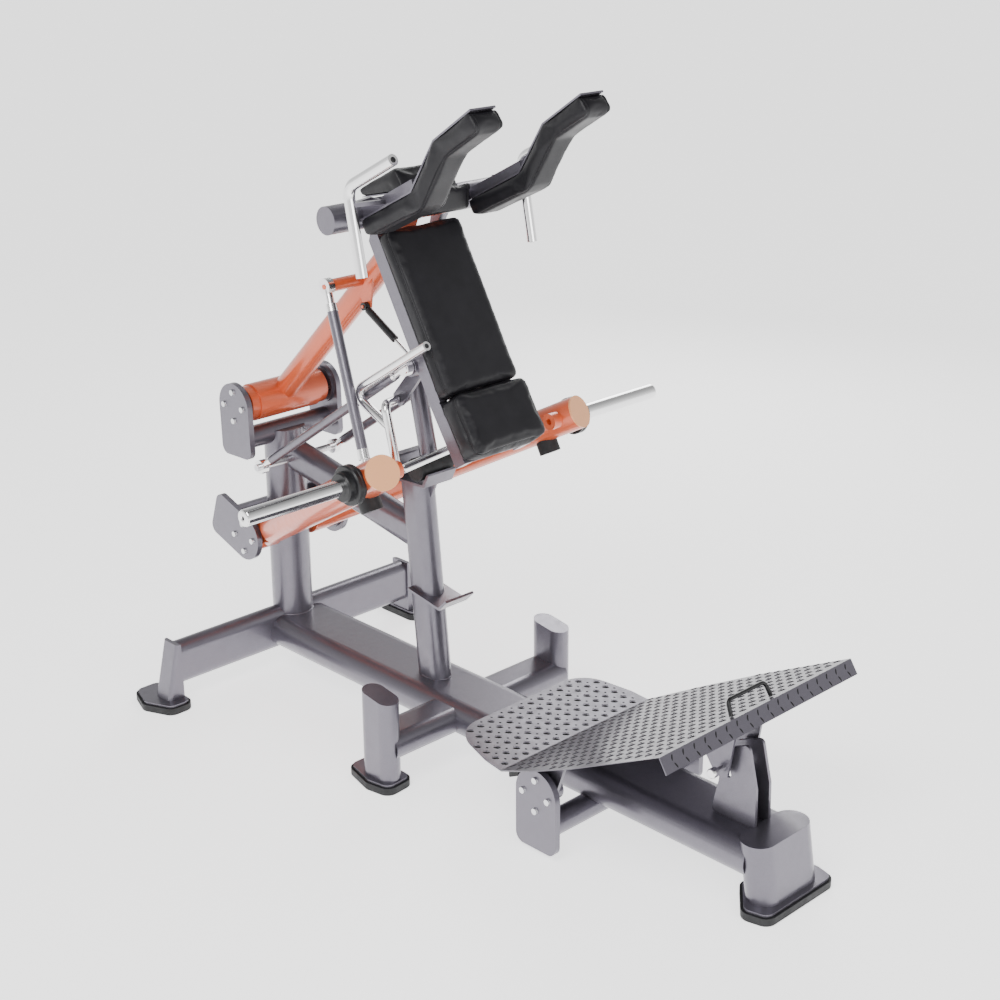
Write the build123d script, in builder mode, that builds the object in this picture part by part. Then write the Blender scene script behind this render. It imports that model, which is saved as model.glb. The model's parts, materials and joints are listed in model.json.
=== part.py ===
from build123d import *
import os
from math import cos, hypot, radians, sin

os.makedirs("parts", exist_ok=True)

# ---------------------------------------------------------------- driving dimensions, mm
# X runs across the machine, with its plane of symmetry at x = 0. -Y is the front, where the
# footplate is. Every place (y, z) below is counted from the foot of the rear post's axis,
# and post_y moves the whole machine so that its origin is the middle of its footprint.
post_y = 1041.86
wall = 4.0
fit = 0.05
gap = 0.5

# base frame
floor_top = 33.0
spine_width, spine_height, spine_z = 260.0, 110.0, 140.0
spine_front_y = -2150.0
crossbar_depth, crossbar_height, crossbar_z, crossbar_half = 70.0, 154.0, 147.0, 508.0
post_radius, post_low, post_high = 71.0, 150.0, 880.0
upright_depth, upright_width, upright_lean = 120.0, 82.0, 0.0988
upright_foot_y, upright_high = -759.0, 868.0
brace_height, brace_width = 114.0, 78.0
side_post_x, side_post_y, side_post_z, side_post_slope = 376.0, -925.0, 309.0, 9.0
side_bar_width, side_bar_height = 155.0, 85.0
pivot_tube_radius = 38.0
plate_thickness = 20.0
pivot_half, foot_pivot_half = 200.0, 330.0
bolt_circle, bolt_radius = 50.0, 7.0

# pivots and joints, as (y, z)
upper_pivot = (8.0, 988.0)
lower_pivot = (-6.0, 520.0)
foot_pivot = (-1551.0, 193.0)
upper_tube, lower_tube, foot_tube = (5.0, 867.0), (100.0, 557.0), (-1551.0, 72.0)
carriage_pivot = (-720.0, 1742.0)
link_low, link_high = (-75.0, 785.0), (-830.0, 1285.0)
rod_high, rod_low = (-488.0, 1480.0), (-766.0, 929.0)
roller = (-757.0, 920.0)
latch_top = (-690.0, 1228.0)
lever_pivot = (-722.0, 1152.0)
spring_high, spring_low = (-516.0, 1400.0), (-730.0, 1278.0)
lock_pin = (-2005.0, 355.0)

# swinging arm and carriage
sleeve_radius, arm_radius = 63.5, 41.5
shaft_radius, pin_radius = 25.0, 8.0
top_tube_radius, top_tube_half = 42.0, 352.0
link_x, link_radius = 156.0, 15.0
rod_high_x, rod_low_x, rod_radius = 172.0, 258.0, 17.0
spring_x = -47.0
rail_low, rail_high, rail_depth = 104.0, 136.0, 45.0
back_pad_half, back_pad_thickness, lumbar_thickness = 150.0, 60.0, 85.0
shoulder_x, shoulder_width = 212.0, 110.0
handle_x, handle_radius = 343.0, 17.0
lever_x, lever_radius = -186.0, 14.0

# weight lever: the arm's axis starts at arm_front and runs along arm_run
lever_arm_radius = 53.5
arm_front = (412.0, -1013.0, 1063.0)
arm_run = (-0.303, 1.0, -0.543)
arm_length = 1000.0
horn = (-930.0, 1018.0)
horn_radius, horn_end = 25.0, 846.0

# footplate
sheet = 5.0
fold_y, fold_z, fold_half = -1404.0, 216.0, 320.0
rear_slope, rear_length, rear_half = -5.4, 245.0, 276.0
front_slope, front_length, front_half = 26.7, 762.0, 417.0


# ---------------------------------------------------------------- helpers
def at(x, y, z):
    """The point at x, y and z, with y counted from the rear post."""
    return Vector(x, y + post_y, z)


def side_at(x):
    """The side view at x: its own x runs rearward from the rear post and its own y runs up."""
    return Plane(origin=(x, post_y, 0), x_dir=(0, 1, 0), z_dir=(1, 0, 0))


def level_at(z, y=0.0, x=0.0):
    """The horizontal plane at height z, with its own origin at x and y."""
    return Plane(origin=at(x, y, z), x_dir=(1, 0, 0), z_dir=(0, 0, 1))


def bar(start, end, radius, mode=Mode.ADD):
    """A round bar from one point to another."""
    with BuildSketch(Plane(origin=start, z_dir=end - start)) as profile:
        Circle(radius)
    extrude(profile.sketch, amount=(end - start).length, mode=mode)


def cross_bar(low, high, place, radius, mode=Mode.ADD):
    """A round bar along X, from x = low to x = high, at a place (y, z)."""
    bar(at(low, *place), at(high, *place), radius, mode)


def oval_bar(plane, length, sides, run=None, mode=Mode.ADD):
    """A flat oval bar with sides (along the plane's x, along its y), in the direction run."""
    turn = 0 if sides[0] > sides[1] else 90
    with BuildSketch(plane) as profile:
        SlotOverall(max(sides), min(sides), rotation=turn)
    extrude(profile.sketch, amount=length, dir=run, mode=mode)


def oval_tube(plane, length, sides, run=None):
    """A flat oval tube, open at both ends."""
    oval_bar(plane, length, sides, run)
    oval_bar(plane, length, (sides[0] - 2 * wall, sides[1] - 2 * wall), run, Mode.SUBTRACT)


def side_plate(low, high, outline, corner=0.0, mode=Mode.ADD):
    """A plate with an outline of (y, z) points, from x = low to x = high."""
    with BuildSketch(side_at(low)) as profile:
        with BuildLine():
            Polyline(*outline, close=True)
        make_face()
        if corner:
            fillet(profile.vertices(), corner)
    extrude(profile.sketch, amount=high - low, mode=mode)


def side_disc(low, high, place, radius, hole=0.0):
    """A disc or ring across X at a place (y, z)."""
    with BuildSketch(side_at(low)) as profile:
        with Locations(place):
            Circle(radius)
            if hole:
                Circle(hole, mode=Mode.SUBTRACT)
    extrude(profile.sketch, amount=high - low)


def bent_bar(points, bend, radius, mode=Mode.ADD):
    """A round bar through points, with each corner bent to one radius."""
    with BuildLine() as path:
        FilletPolyline(*points, radius=bend)
    with BuildSketch(Plane(origin=path.line @ 0, z_dir=path.line % 0)) as profile:
        Circle(radius)
    sweep(profile.sketch, path=path.line, mode=mode)


def between(start, end, share):
    """The point at a share of the way from start to end."""
    return start + (end - start) * share


def pivot_view(x, pivot, tube):
    """The side view at x, with its origin on a pivot and its own x towards a cross tube."""
    return Plane(origin=at(x, *pivot), x_dir=at(0, *tube) - at(0, *pivot), z_dir=(1, 0, 0))


def bolt_circle_bars(low, high, pivot, radius, mode=Mode.ADD):
    """The four bars or holes of a bolt circle about a pivot."""
    with BuildSketch(side_at(low)) as circle:
        with Locations(pivot):
            with PolarLocations(bolt_circle, 4):
                Circle(radius)
    extrude(circle.sketch, amount=high - low, mode=mode)


def pivot_plates(pivot, tube, half):
    """A pair of plates that join a pivot's bearings to the cross tube beside it."""
    with BuildSketch(pivot_view(half - plate_thickness, pivot, tube)) as profile:
        Circle(80)
        with Locations((88, 0)):
            Rectangle(176, 160)
        fillet(profile.vertices().sort_by(Axis.X)[-2:], 30)
    extrude(profile.sketch, amount=plate_thickness)
    bolt_circle_bars(half - plate_thickness, half, pivot, bolt_radius + gap, Mode.SUBTRACT)
    mirror(about=Plane.YZ)


def cross_tube(half, place):
    """The tube that ends on the inner faces of a pair of pivot plates."""
    inner = half - plate_thickness
    side_disc(-inner, inner, place, pivot_tube_radius, pivot_tube_radius - wall)


def bearings(pivot, half):
    """A pair of flange bearings on the inner faces of the pivot plates."""
    inner = half - plate_thickness
    side_disc(inner - 8, inner, pivot, 64, shaft_radius + fit)
    side_disc(inner - 15, inner - 8, pivot, 41, shaft_radius + fit)
    bolt_circle_bars(inner - 8, inner, pivot, bolt_radius + gap, Mode.SUBTRACT)
    mirror(about=Plane.YZ)


def plate_bolts(pivot, half):
    """Four round-headed bolts through each pivot plate and its bearing."""
    bolt_circle_bars(half - plate_thickness - 8, half, pivot, bolt_radius)
    with BuildSketch(side_at(half)) as heads:
        with Locations(pivot):
            with PolarLocations(bolt_circle, 4):
                Circle(bolt_radius + 4)
    extrude(heads.sketch, amount=7, taper=12)
    mirror(about=Plane.YZ)


def turned(place, centre, angle):
    """A place (y, z) turned about a centre, in degrees from +Y towards +Z."""
    y, z = place[0] - centre[0], place[1] - centre[1]
    c, s = cos(radians(angle)), sin(radians(angle))
    return (centre[0] + y * c - z * s, centre[1] + y * s + z * c)


def unit(start, end):
    """The unit direction from one place (y, z) to another."""
    run = hypot(end[0] - start[0], end[1] - start[1])
    return ((end[0] - start[0]) / run, (end[1] - start[1]) / run)


def between_places(start, end, share, side=0.0):
    """The place (y, z) at a share of the way from start to end, moved sideways to its left."""
    along = unit(start, end)
    y = start[0] + (end[0] - start[0]) * share - along[1] * side
    z = start[1] + (end[1] - start[1]) * share + along[0] * side
    return (y, z)


def slab(low, high, near, far):
    """The outline between two offsets in front of the line from low to high."""
    along = unit(low, high)
    front = (-along[1], along[0])
    return [shifted(place, front, way) for place, way in ((high, near), (low, near), (low, far), (high, far))]


def shifted(place, along, distance):
    """A place (y, z) moved by a distance along a unit direction."""
    return (place[0] + along[0] * distance, place[1] + along[1] * distance)


def padded_block(low, high, thickness):
    """A pad with rounded corners on the board line from low to high."""
    start, end = at(0, *low), at(0, *high)
    along = (end - start).normalized()
    face = Plane(origin=between(start, end, 0.5), x_dir=(1, 0, 0), z_dir=(0, -along.Z, along.Y))
    with BuildSketch(face) as outline:
        RectangleRounded(2 * back_pad_half, (end - start).length, 26)
    extrude(outline.sketch, amount=thickness)


# ---------------------------------------------------------------- outer forms that tubes are coped to
spine_plane = Plane(origin=at(0, spine_front_y, spine_z), x_dir=(1, 0, 0), z_dir=(0, 1, 0))
crossbar_plane = side_at(-crossbar_half)
upright_run = (0, upright_lean, 1)
upright_start = level_at(spine_z, upright_foot_y - upright_lean * (200 - spine_z))
brace_start, brace_end = at(0, -20, 797), at(0, -700, 674)
brace_plane = Plane(origin=brace_start, x_dir=(1, 0, 0), z_dir=brace_end - brace_start)
leg_run = (0, 34 / 200, 1)
leg_start = level_at(floor_top, -2190 + 34 / 200 * floor_top)
leg_width, leg_depth = 250.0, 104.0
leg_height = 172.0

with BuildPart() as spine_form:
    oval_bar(spine_plane, -spine_front_y - 10, (spine_width, spine_height))

with BuildPart() as crossbar_form:
    with BuildSketch(crossbar_plane) as crossbar_profile:
        with Locations((0, crossbar_z)):
            SlotOverall(crossbar_height, crossbar_depth, rotation=90)
    extrude(amount=2 * crossbar_half)

with BuildPart() as post_form:
    bar(at(0, 0, post_low), at(0, 0, post_high), post_radius)

with BuildPart() as upright_form:
    oval_bar(upright_start, upright_high - spine_z, (upright_width, upright_depth), upright_run)
    split(bisect_by=Plane(origin=(0, 0, upright_high)), keep=Keep.BOTTOM)

with BuildPart() as brace_form:
    oval_bar(brace_plane, (brace_end - brace_start).length, (brace_width, brace_height))

with BuildPart() as leg_form:
    oval_bar(leg_start, leg_height, (leg_width, leg_depth), leg_run)

with BuildPart() as foot_tube_form:
    cross_bar(-foot_pivot_half, foot_pivot_half, foot_tube, pivot_tube_radius)

with BuildPart() as upper_tube_form:
    cross_bar(-pivot_half, pivot_half, upper_tube, pivot_tube_radius)

with BuildPart() as side_post_form:
    oval_bar(level_at(floor_top, side_post_y, side_post_x), 400, (75, 135))
    split(
        bisect_by=Plane(origin=at(0, side_post_y, side_post_z)).rotated((side_post_slope, 0, 0)),
        keep=Keep.BOTTOM,
    )
    mirror(about=Plane.YZ)

# ---------------------------------------------------------------- base frame
with BuildPart() as spine:
    oval_tube(spine_plane, -spine_front_y - 10, (spine_width, spine_height))
    add(crossbar_form.part, mode=Mode.SUBTRACT)
    add(leg_form.part, mode=Mode.SUBTRACT)
    add(foot_tube_form.part, mode=Mode.SUBTRACT)
spine.part.label = "spine"
export_step(spine.part, "parts/spine.step")

with BuildPart() as rear_crossbar:
    add(crossbar_form.part)
    with BuildSketch(crossbar_plane):
        with Locations((0, crossbar_z)):
            SlotOverall(crossbar_height - 2 * wall, crossbar_depth - 2 * wall, rotation=90)
    extrude(amount=2 * crossbar_half, mode=Mode.SUBTRACT)
rear_crossbar.part.label = "rear_crossbar"
export_step(rear_crossbar.part, "parts/rear_crossbar.step")

with BuildPart() as rear_legs:
    with BuildSketch(Plane(origin=at(0, 42, 0), x_dir=(1, 0, 0), z_dir=(0, -1, 0))):
        with BuildLine():
            Polyline(
                (crossbar_half, floor_top),
                (crossbar_half + 62, floor_top),
                (crossbar_half + 16, 226),
                (crossbar_half, 226),
                close=True,
            )
        make_face()
    extrude(amount=84)
    outer_edges = rear_legs.edges().filter_by(Axis.Y, reverse=True).group_by(Axis.X)[-1]
    fillet(outer_edges, 14)
    mirror(about=Plane.YZ)
rear_legs.part.label = "rear_legs"
export_step(rear_legs.part, "parts/rear_legs.step")

with BuildPart() as front_leg:
    add(leg_form.part)
    oval_bar(
        leg_start,
        leg_height - wall,
        (leg_width - 2 * wall, leg_depth - 2 * wall),
        leg_run,
        Mode.SUBTRACT,
    )
front_leg.part.label = "front_leg"
export_step(front_leg.part, "parts/front_leg.step")

with BuildPart() as side_posts:
    add(side_post_form.part)
    for x in (side_post_x, -side_post_x):
        oval_bar(level_at(floor_top, side_post_y, x), 250, (75 - 2 * wall, 135 - 2 * wall), None, Mode.SUBTRACT)
side_posts.part.label = "side_posts"
export_step(side_posts.part, "parts/side_posts.step")

with BuildPart() as side_bars:
    side_bar_plane = side_at(0)
    for size, cut in ((0, Mode.ADD), (2 * wall, Mode.SUBTRACT)):
        with BuildSketch(side_bar_plane):
            with Locations((side_post_y, spine_z)):
                SlotOverall(side_bar_width - size, side_bar_height - size)
        extrude(amount=side_post_x, mode=cut)
    add(spine_form.part, mode=Mode.SUBTRACT)
    add(side_post_form.part, mode=Mode.SUBTRACT)
    mirror(about=Plane.YZ)
side_bars.part.label = "side_bars"
export_step(side_bars.part, "parts/side_bars.step")

with BuildPart() as rear_post:
    add(post_form.part)
    bar(at(0, 0, post_low), at(0, 0, post_high - wall), post_radius - wall, Mode.SUBTRACT)
    add(crossbar_form.part, mode=Mode.SUBTRACT)
    add(spine_form.part, mode=Mode.SUBTRACT)
    add(upper_tube_form.part, mode=Mode.SUBTRACT)
    cross_bar(-post_radius, post_radius, link_low, 12, Mode.SUBTRACT)
    cross_bar(-post_radius, post_radius, lower_pivot, shaft_radius + 2, Mode.SUBTRACT)
rear_post.part.label = "rear_post"
export_step(rear_post.part, "parts/rear_post.step")

with BuildPart() as front_upright:
    add(upright_form.part)
    oval_bar(
        upright_start,
        upright_high - spine_z,
        (upright_width - 2 * wall, upright_depth - 2 * wall),
        upright_run,
        Mode.SUBTRACT,
    )
    add(spine_form.part, mode=Mode.SUBTRACT)
front_upright.part.label = "front_upright"
export_step(front_upright.part, "parts/front_upright.step")

with BuildPart() as brace:
    oval_tube(brace_plane, (brace_end - brace_start).length, (brace_width, brace_height))
    add(post_form.part, mode=Mode.SUBTRACT)
    add(upright_form.part, mode=Mode.SUBTRACT)
    cross_bar(-60, 60, link_low, 12, Mode.SUBTRACT)
brace.part.label = "brace"
export_step(brace.part, "parts/brace.step")

with BuildPart() as upper_cross_tube:
    cross_tube(pivot_half, upper_tube)
upper_cross_tube.part.label = "upper_cross_tube"
export_step(upper_cross_tube.part, "parts/upper_cross_tube.step")

with BuildPart() as lower_cross_tube:
    cross_tube(pivot_half, lower_tube)
    add(post_form.part, mode=Mode.SUBTRACT)
lower_cross_tube.part.label = "lower_cross_tube"
export_step(lower_cross_tube.part, "parts/lower_cross_tube.step")

with BuildPart() as foot_cross_tube:
    cross_tube(foot_pivot_half, foot_tube)
foot_cross_tube.part.label = "foot_cross_tube"
export_step(foot_cross_tube.part, "parts/foot_cross_tube.step")

with BuildPart() as upper_pivot_plates:
    pivot_plates(upper_pivot, upper_tube, pivot_half)
upper_pivot_plates.part.label = "upper_pivot_plates"
export_step(upper_pivot_plates.part, "parts/upper_pivot_plates.step")

with BuildPart() as lower_pivot_plates:
    pivot_plates(lower_pivot, lower_tube, pivot_half)
lower_pivot_plates.part.label = "lower_pivot_plates"
export_step(lower_pivot_plates.part, "parts/lower_pivot_plates.step")

with BuildPart() as foot_pivot_plates:
    pivot_plates(foot_pivot, foot_tube, foot_pivot_half)
foot_pivot_plates.part.label = "foot_pivot_plates"
export_step(foot_pivot_plates.part, "parts/foot_pivot_plates.step")

with BuildPart() as flange_bearings:
    bearings(upper_pivot, pivot_half)
    bearings(lower_pivot, pivot_half)
    bearings(foot_pivot, foot_pivot_half)
flange_bearings.part.label = "flange_bearings"
export_step(flange_bearings.part, "parts/flange_bearings.step")

with BuildPart() as pivot_bolts:
    plate_bolts(upper_pivot, pivot_half)
    plate_bolts(lower_pivot, pivot_half)
    plate_bolts(foot_pivot, foot_pivot_half)
pivot_bolts.part.label = "pivot_bolts"
export_step(pivot_bolts.part, "parts/pivot_bolts.step")

with BuildPart() as link_shaft:
    cross_bar(-180, 180, link_low, 12)
link_shaft.part.label = "link_shaft"
export_step(link_shaft.part, "parts/link_shaft.step")


# ---------------------------------------------------------------- feet
def foot_outline():
    """The rounded triangles of the five feet, in the sketch being built."""
    rear = [(496, -84), (590, -84), (636, 20), (600, 126), (496, 126)]
    side = [(312, -1000), (424, -1010), (440, -920), (410, -796), (312, -796)]
    front = [(-150, -2262), (150, -2262), (170, -2180), (60, -2088), (-60, -2088), (-170, -2180)]
    outlines = [[(hand * x, y) for x, y in corners] for corners in (rear, side) for hand in (-1, 1)]
    for corners in outlines + [front]:
        with BuildLine() as edge:
            Polyline(*[(x, y + post_y) for x, y in corners], close=True)
        make_face(edge.edges())


rubber_thickness, foot_thickness, foot_margin = 25.0, 8.0, 8.0
with BuildPart() as rubber_feet:
    with BuildSketch() as rubber_outline:
        foot_outline()
        fillet(rubber_outline.vertices(), 36)
    extrude(amount=rubber_thickness)
    fillet(rubber_feet.edges().group_by(Axis.Z)[0], 3)
rubber_feet.part.label = "rubber_feet"
export_step(rubber_feet.part, "parts/rubber_feet.step")

with BuildPart() as foot_plates:
    with BuildSketch(Plane.XY.offset(rubber_thickness)):
        add(rubber_outline.sketch)
        offset(amount=-foot_margin)
    extrude(amount=foot_thickness)
foot_plates.part.label = "foot_plates"
export_step(foot_plates.part, "parts/foot_plates.step")

# ---------------------------------------------------------------- rack hooks, latch post and release lever
hook_thickness, hook_half = 8.0, 60.0
with BuildPart() as rack_hooks:
    side_plate(-hook_half, hook_half, [(-640, 868), (-782, 874), (-805, 914), (-812, 910), (-790, 866), (-640, 860)])
    side_plate(-hook_half, hook_half, [(-640, 868), (-640, 947), (-668, 947), (-668, 941), (-648, 941), (-648, 868)])
    side_plate(-4, 4, [(-700, 867), (-786, 870), (-750, 795), (-740, 800)])
    side_plate(-hook_half, hook_half, [(-700, 501), (-846, 475), (-879, 508), (-886, 503), (-849, 466), (-700, 492)])
    side_plate(-4, 4, [(-720, 496), (-840, 473), (-770, 425), (-720, 425)])
    add(upright_form.part, mode=Mode.SUBTRACT)
rack_hooks.part.label = "rack_hooks"
export_step(rack_hooks.part, "parts/rack_hooks.step")

roller_radius, post_tube_radius = 38.0, 29.0
with BuildPart() as latch_post:
    bar(at(0, *between_places(roller, latch_top, 0.02)), at(0, *latch_top), post_tube_radius)
    cross_bar(-hook_half, hook_half, roller, roller_radius, Mode.SUBTRACT)
latch_post.part.label = "latch_post"
export_step(latch_post.part, "parts/latch_post.step")

with BuildPart() as latch_roller:
    cross_bar(-68, 68, roller, roller_radius)
    fillet(latch_roller.edges().filter_by(GeomType.CIRCLE), 4)
latch_roller.part.label = "latch_roller"
export_step(latch_roller.part, "parts/latch_roller.step")

with BuildPart() as lever_pin:
    cross_bar(-124, -88, lever_pivot, pin_radius)
lever_pin.part.label = "lever_pin"
export_step(lever_pin.part, "parts/lever_pin.step")

lever_corner, lever_low, lever_tip = (-762.0, 1163.0), (-815.0, 960.0), (-817.0, 987.0)
grip_bend, grip_end = (-610.0, 1168.0), (-960.0, 1385.0)
with BuildPart() as release_lever:
    bent_bar(
        [
            at(-104, *lever_pivot),
            at(lever_x, *lever_corner),
            at(lever_x, *lever_low),
            at(80, *lever_tip),
        ],
        24,
        lever_radius,
    )
    bent_bar(
        [
            at(lever_x, -779, 1097),
            at(lever_x, *grip_bend),
            at(lever_x, *grip_end),
        ],
        30,
        lever_radius,
    )
    cross_bar(-103, -60, lever_pivot, 40, Mode.SUBTRACT)
    cross_bar(-126, -60, lever_pivot, pin_radius + fit, Mode.SUBTRACT)
release_lever.part.label = "release_lever"
export_step(release_lever.part, "parts/release_lever.step")

# ---------------------------------------------------------------- swinging arm
arm_bend = (-630.0, 1606.0)
hinge_radius = 15.0
with BuildPart() as main_arm:
    cross_bar(-128, 128, upper_pivot, sleeve_radius)
    cross_bar(-160, 160, upper_pivot, sleeve_radius - 5)
    bar(at(0, *upper_pivot), at(0, *arm_bend), arm_radius)
    side_plate(
        -30,
        30,
        [(-690, 1771), (-575, 1650), (-556, 1552), (-625, 1580), (-668, 1640), (-697, 1705)],
        8,
    )
    cross_bar(-98, 98, carriage_pivot, top_tube_radius)
    cross_bar(-156, 156, rod_high, 20)
    cross_bar(-186, 186, rod_high, pin_radius)
    side_plate(spring_x + 11, spring_x + 19, [(-470, 1440), (-505, 1385), (-527, 1385), (-545, 1510)], 6)
    cross_bar(spring_x - 12, spring_x + 11, spring_high, 5)
    hollow = [at(0, *between_places(upper_pivot, arm_bend, share)) for share in (0.12, 0.95)]
    bar(*hollow, arm_radius - wall, Mode.SUBTRACT)
    cross_bar(-160, 160, upper_pivot, shaft_radius, Mode.SUBTRACT)
    cross_bar(-98, 98, carriage_pivot, hinge_radius, Mode.SUBTRACT)
main_arm.part.label = "main_arm"
export_step(main_arm.part, "parts/main_arm.step")

with BuildPart() as upper_shaft:
    cross_bar(-179, 179, upper_pivot, shaft_radius)
upper_shaft.part.label = "upper_shaft"
export_step(upper_shaft.part, "parts/upper_shaft.step")

with BuildPart() as carriage_shaft:
    cross_bar(-158, 158, carriage_pivot, hinge_radius)
carriage_shaft.part.label = "carriage_shaft"
export_step(carriage_shaft.part, "parts/carriage_shaft.step")

# ---------------------------------------------------------------- carriage
back_low, back_high = (-960.0, 1203.0), (-695.0, 1665.0)
lumbar_low, lumbar_high = (-1065.0, 1035.0), (-960.0, 1197.0)
backing, pad_corner = 5.0, 12.0
rail_front, rail_rear = -backing, -backing - rail_depth
with BuildPart() as carriage_frame:
    side_plate(rail_low, rail_high, slab(back_low, back_high, rail_rear, rail_front))
    rail_top = between_places(lumbar_high, back_high, 0.03)
    side_plate(rail_low, rail_high, slab(lumbar_low, rail_top, rail_rear, rail_front))
    side_plate(rail_low, rail_high, [(-735, 1735), (-690.7, 1662.5), (-651.6, 1640), (-682, 1745)])
    cross_bar(0, 142, link_high, 30)
    cross_bar(100, top_tube_half, carriage_pivot, top_tube_radius)
    cross_bar(100, 160, carriage_pivot, hinge_radius + fit, Mode.SUBTRACT)
    cross_bar(170, top_tube_half - 6, carriage_pivot, top_tube_radius - wall, Mode.SUBTRACT)
    cross_bar(0, rail_low, between_places(lumbar_low, lumbar_high, 0.3, -27), 20)
    side_plate(100, 106, [(-750, 1770), (-750, 1790.5), (-700, 1782.5), (-692, 1780), (-692, 1765)])
    side_plate(-back_pad_half, back_pad_half, slab(back_low, back_high, -backing, 0), 0, Mode.SUBTRACT)
    side_plate(-back_pad_half, back_pad_half, slab(lumbar_low, lumbar_high, -backing, 0), 0, Mode.SUBTRACT)
    mirror(about=Plane.YZ)
    side_plate(spring_x + 11, spring_x + 19, [(-845, 1262), (-835, 1312), (-716, 1292), (-716, 1266)], 6)
    side_plate(-100, -88, [(-852, 1270), (-820, 1300), (-703, 1166), (-703, 1138), (-738, 1132)], 8)
    cross_bar(-100, -88, lever_pivot, pin_radius, Mode.SUBTRACT)
carriage_frame.part.label = "carriage_frame"
export_step(carriage_frame.part, "parts/carriage_frame.step")

shoulder_back = [(-766.0, 1735.5), (-988.0, 1846.0), (-1086.0, 1998.0), (-1235.0, 2095.0)]
shoulder_front = [(-791.0, 1692.0), (-1022.0, 1801.0), (-1125.0, 1962.0), (-1272.0, 2050.0)]
shoulder_low, shoulder_high = shoulder_x - shoulder_width / 2, shoulder_x + shoulder_width / 2
headrest_outline = [(-586.0, 1761.0), (-573.0, 1780.0), (-742.0, 1867.0), (-790.0, 1800.0), (-700.0, 1786.0)]
with BuildPart() as shoulder_channels:
    side_plate(180, 244, [(-724, 1740), (-763, 1743), (-986, 1854), (-974, 1880), (-766, 1775), (-724, 1760)])
    side_plate(186, 238, [(-775, 1735), (-984, 1840), (-972, 1871), (-774, 1767)], 0, Mode.SUBTRACT)
    cross_bar(100, top_tube_half, carriage_pivot, top_tube_radius, Mode.SUBTRACT)
    mirror(about=Plane.YZ)
shoulder_channels.part.label = "shoulder_channels"
export_step(shoulder_channels.part, "parts/shoulder_channels.step")

with BuildPart() as pad_backings:
    side_plate(
        shoulder_low + 8,
        shoulder_high - 8,
        shoulder_back + [(-1232, 2100), (-1082, 2002), (-984, 1850), (-764, 1740)],
    )
    side_plate(shoulder_low, shoulder_high, shoulder_back + shoulder_front[::-1], pad_corner, Mode.SUBTRACT)
    mirror(about=Plane.YZ)
    side_plate(-back_pad_half + 12, back_pad_half - 12, slab(back_low, back_high, -backing, 0))
    side_plate(-back_pad_half + 12, back_pad_half - 12, slab(lumbar_low, lumbar_high, -backing, 0))
    side_plate(-104, 104, [(-590, 1762), (-700, 1786), (-788, 1799.7), (-788, 1796.7), (-700, 1783), (-590, 1759)])
    side_plate(-110, 110, headrest_outline, 4, Mode.SUBTRACT)
pad_backings.part.label = "pad_backings"
export_step(pad_backings.part, "parts/pad_backings.step")

for hand, name in ((-1, "shoulder_pad_right"), (1, "shoulder_pad_left")):
    with BuildPart() as shoulder_pad:
        side_plate(shoulder_low, shoulder_high, shoulder_back + shoulder_front[::-1], pad_corner)
        if hand < 0:
            mirror(about=Plane.YZ, mode=Mode.REPLACE)
    shoulder_pad.part.label = name
    export_step(shoulder_pad.part, f"parts/{name}.step")

with BuildPart() as back_pad:
    padded_block(back_low, back_high, back_pad_thickness)
back_pad.part.label = "back_pad"
export_step(back_pad.part, "parts/back_pad.step")

with BuildPart() as lumbar_pad:
    padded_block(lumbar_low, lumbar_high, lumbar_thickness)
lumbar_pad.part.label = "lumbar_pad"
export_step(lumbar_pad.part, "parts/lumbar_pad.step")

neck_outline = [(-752, 1703), (-790, 1716), (-806, 1791), (-793, 1798), (-766, 1770), (-766, 1715)]
with BuildPart() as headrest:
    side_plate(-110, 110, headrest_outline, 4)
    side_plate(-back_pad_half, back_pad_half, neck_outline, 3)
headrest.part.label = "headrest"
export_step(headrest.part, "parts/headrest.step")

handle_top, handle_bend, handle_low = (-1015.0, 1951.0), (-815.0, 1849.0), (-866.0, 1598.0)
handle_points = [at(handle_x, *place) for place in (handle_top, handle_bend, handle_low)]
with BuildPart() as shoulder_handles:
    bent_bar(handle_points, 45, handle_radius)
    mirror(about=Plane.YZ)
shoulder_handles.part.label = "shoulder_handles"
export_step(shoulder_handles.part, "parts/shoulder_handles.step")

with BuildPart() as handle_brackets:
    with BuildSketch(level_at(1796)) as bracket_outline:
        with BuildLine():
            Polyline((244, -790), (handle_x, -822), (handle_x, -842), (244, -862), close=True)
        make_face()
        with BuildLine():
            Polyline((250, -805), (handle_x - 24, -830), (250, -848), close=True)
        make_face(mode=Mode.SUBTRACT)
    extrude(bracket_outline.sketch, amount=12)
    bent_bar(handle_points, 45, handle_radius, Mode.SUBTRACT)
    mirror(about=Plane.YZ)
handle_brackets.part.label = "handle_brackets"
export_step(handle_brackets.part, "parts/handle_brackets.step")

# ---------------------------------------------------------------- guide links, push rods and gas spring
link_run = unit(link_low, link_high)
with BuildPart() as guide_links:
    bar(at(link_x, *shifted(link_low, link_run, 70)), at(link_x, *shifted(link_high, link_run, -70)), link_radius)
    mirror(about=Plane.YZ)
guide_links.part.label = "guide_links"
export_step(guide_links.part, "parts/guide_links.step")

with BuildPart() as link_ends:
    for place, way in ((link_low, 1), (link_high, -1)):
        bar(at(link_x, *place), at(link_x, *shifted(place, link_run, 70 * way)), 10)
        side_disc(link_x - 12, link_x + 12, place, 24)
        bar(at(link_x, *shifted(place, link_run, 56 * way)), at(link_x, *shifted(place, link_run, 70 * way)), 14)
    cross_bar(link_x - 12, link_x + 12, link_low, 12 + fit, Mode.SUBTRACT)
    cross_bar(link_x + 12, link_x + 15, link_high, 18)
    mirror(about=Plane.YZ)
link_ends.part.label = "link_ends"
export_step(link_ends.part, "parts/link_ends.step")

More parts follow.
